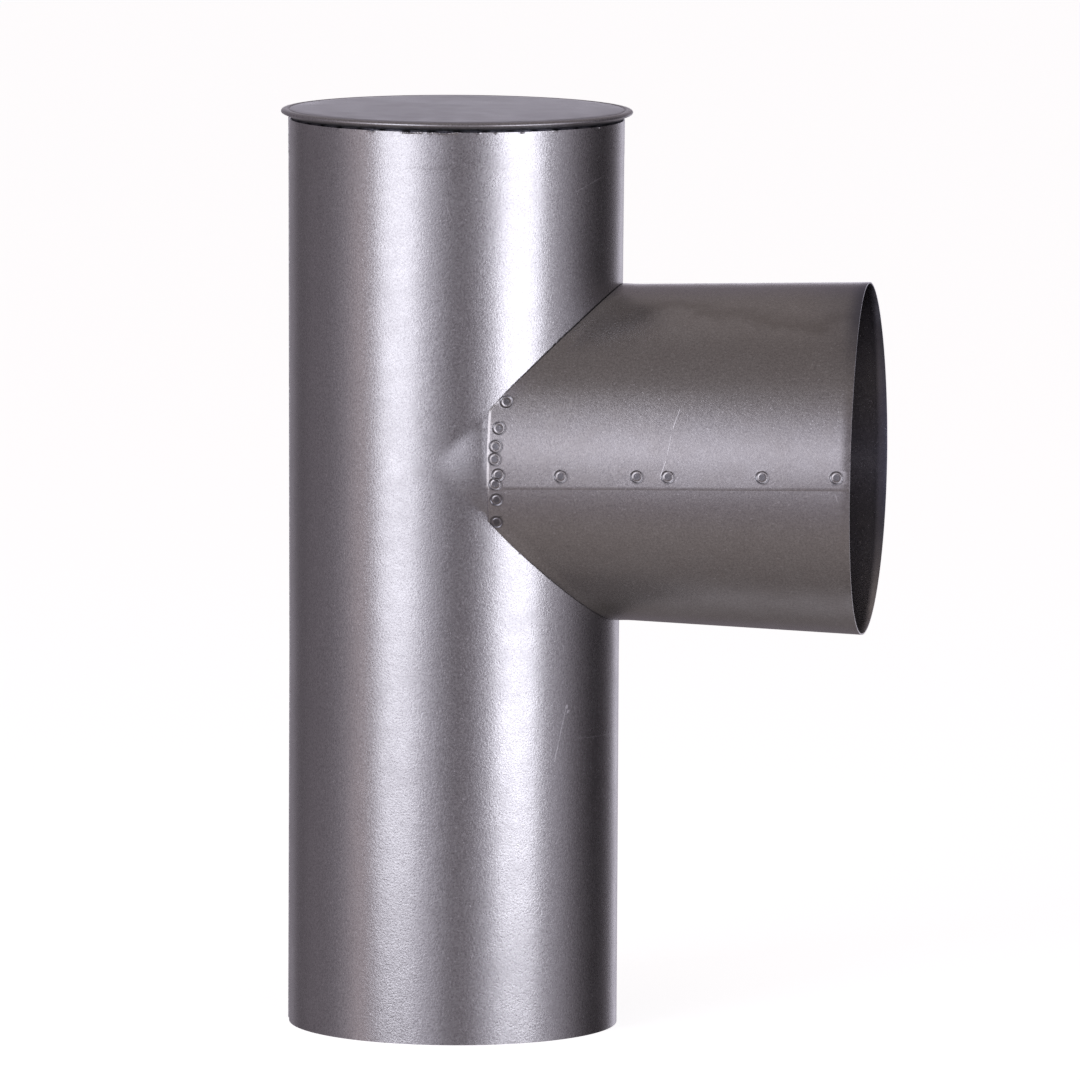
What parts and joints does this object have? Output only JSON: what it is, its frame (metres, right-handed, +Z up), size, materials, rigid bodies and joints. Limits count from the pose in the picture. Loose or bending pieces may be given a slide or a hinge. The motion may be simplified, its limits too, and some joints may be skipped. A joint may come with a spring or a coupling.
{
  "type": "stove pipe tee with plug cap",
  "caption": "Round sheet-steel stove pipe with a conical side branch at a right angle, closed on top by a pull-out plug cap, so that it works as an elbow with a cleaning opening.",
  "frame": {"origin": "centre of the upright pipe's lower end", "axes": "+Z up the upright pipe's axis, +X along the branch, away from the upright pipe"},
  "size_m": [0.2706, 0.161, 0.4186],
  "materials": {
    "pipe_sheet": "aluminised sheet steel, mill finish",
    "branch_sheet": "aluminised sheet steel, mill finish",
    "cap_sheet": "aluminised sheet steel, mill finish"
  },
  "bodies": {
    "pipe": {"main_pipe": "pipe_sheet", "branch_pipe": "branch_sheet"},
    "cap": {"cover_cap": "cap_sheet"}
  },
  "joints": [
    {"name": "cap_lift", "type": "slide", "parent": "pipe", "child": "cap", "axis": [0, 0, 1], "range_m": [0, 0.06]}
  ]
}
